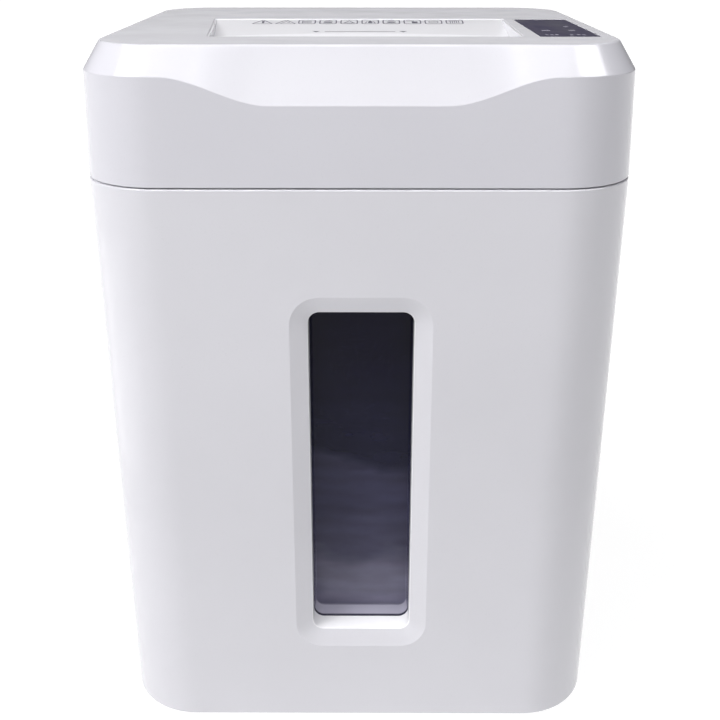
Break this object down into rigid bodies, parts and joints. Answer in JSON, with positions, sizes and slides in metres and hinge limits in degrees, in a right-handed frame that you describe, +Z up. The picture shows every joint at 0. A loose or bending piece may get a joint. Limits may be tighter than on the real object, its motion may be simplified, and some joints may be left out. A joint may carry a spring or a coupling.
{
  "type": "paper shredder",
  "caption": "Free-standing cross-cut paper shredder: tapered bin with a tall recessed smoked window, and a lift-off cutting head with a dipped front shoulder and a touch panel.",
  "frame": {"origin": "on the floor, under the middle of the footprint", "axes": "+Z up, +X to the right as seen from the front, -Y towards the user"},
  "size_m": [0.3798, 0.3488, 0.5304],
  "materials": {
    "white_plastic": "glossy moulded ABS, faint lilac white",
    "smoked_window": "smoked clear plastic, polished",
    "feed_plastic": "satin moulded ABS, off-white",
    "dark_glass": "dark polished touch glass",
    "rubber": "matt moulded rubber",
    "grey_plastic": "lightly grained ABS",
    "black_plastic": "black moulded nylon",
    "rocker_plastic": "black polished rocker",
    "plate_steel": "stamped steel sheet",
    "cutter_steel": "hardened and oiled steel",
    "gear_steel": "sintered steel",
    "nylon": "natural moulded nylon",
    "zinc": "zinc-plated steel",
    "bronze": "sintered bronze",
    "circuit": "green solder mask",
    "capacitor": "sleeved can"
  },
  "bodies": {
    "bin": {"bin_shell": "white_plastic", "window_pane": "smoked_window", "foot_front_left": "rubber", "foot_front_right": "rubber", "foot_rear_left": "rubber", "foot_rear_right": "rubber", "bin_magnet": "zinc"},
    "head": {"head_cover": "white_plastic", "head_base": "grey_plastic", "feed_throat": "feed_plastic", "touch_panel": "dark_glass", "control_board": "circuit", "side_plate_left": "plate_steel", "side_plate_right": "plate_steel", "tie_rod_front": "zinc", "tie_rod_middle": "zinc", "tie_rod_rear": "zinc", "bush_front_left": "bronze", "bush_front_right": "bronze", "bush_rear_left": "bronze", "bush_rear_right": "bronze", "front_comb": "zinc", "rear_comb": "zinc", "gear_pin_first": "zinc", "gear_pin_second": "zinc", "gear_cover": "black_plastic", "motor_can": "zinc", "motor_end_cap": "black_plastic", "power_board": "circuit", "capacitor": "capacitor", "paper_sensor_emitter": "black_plastic", "paper_sensor_receiver": "black_plastic", "reed_switch": "black_plastic", "power_switch_body": "black_plastic", "cord_gland": "black_plastic", "base_screw_front_left": "zinc", "base_screw_front_right": "zinc", "base_screw_rear_left": "zinc", "base_screw_rear_right": "zinc"},
    "rear_roller": {"rear_shaft": "zinc", "rear_cutters": "cutter_steel", "rear_sync_gear": "gear_steel", "drive_gear": "gear_steel"},
    "front_roller": {"front_shaft": "zinc", "front_cutters": "cutter_steel", "front_sync_gear": "gear_steel"},
    "second_gear": {"gear_second": "gear_steel"},
    "first_gear": {"gear_first": "nylon"},
    "motor_armature": {"motor_rotor": "zinc", "motor_pinion": "gear_steel", "cooling_fan": "black_plastic"},
    "rocker": {"power_rocker": "rocker_plastic"}
  },
  "joints": [
    {"name": "head_lift", "type": "slide", "parent": "bin", "child": "head", "axis": [0, 0, 1], "range_m": [0, 0.15]},
    {"name": "rear_roller_spin", "type": "hinge", "parent": "head", "child": "rear_roller", "pos_m": [0, -0.0848, 0.478], "axis": [1, 0, 0], "continuous": true},
    {"name": "front_roller_spin", "type": "hinge", "parent": "head", "child": "front_roller", "pos_m": [0, -0.1178, 0.478], "axis": [1, 0, 0], "continuous": true},
    {"name": "second_gear_spin", "type": "hinge", "parent": "head", "child": "second_gear", "pos_m": [0, -0.04563, 0.482], "axis": [1, 0, 0], "continuous": true},
    {"name": "first_gear_spin", "type": "hinge", "parent": "head", "child": "first_gear", "pos_m": [0, -0.01035, 0.47485], "axis": [1, 0, 0], "continuous": true},
    {"name": "motor_spin", "type": "hinge", "parent": "head", "child": "motor_armature", "pos_m": [0, 0.022, 0.478], "axis": [1, 0, 0], "continuous": true},
    {"name": "power_rocker_tilt", "type": "hinge", "parent": "head", "child": "rocker", "pos_m": [0.11, 0.16721, 0.474], "axis": [1, 0, 0], "range_deg": [0, 16]}
  ],
  "couplings": [
    {"joint": "front_roller_spin", "follows": "rear_roller_spin", "ratio": -1},
    {"joint": "second_gear_spin", "follows": "rear_roller_spin", "ratio": -2},
    {"joint": "first_gear_spin", "follows": "rear_roller_spin", "ratio": 4.8571},
    {"joint": "motor_spin", "follows": "rear_roller_spin", "ratio": -16.19}
  ]
}
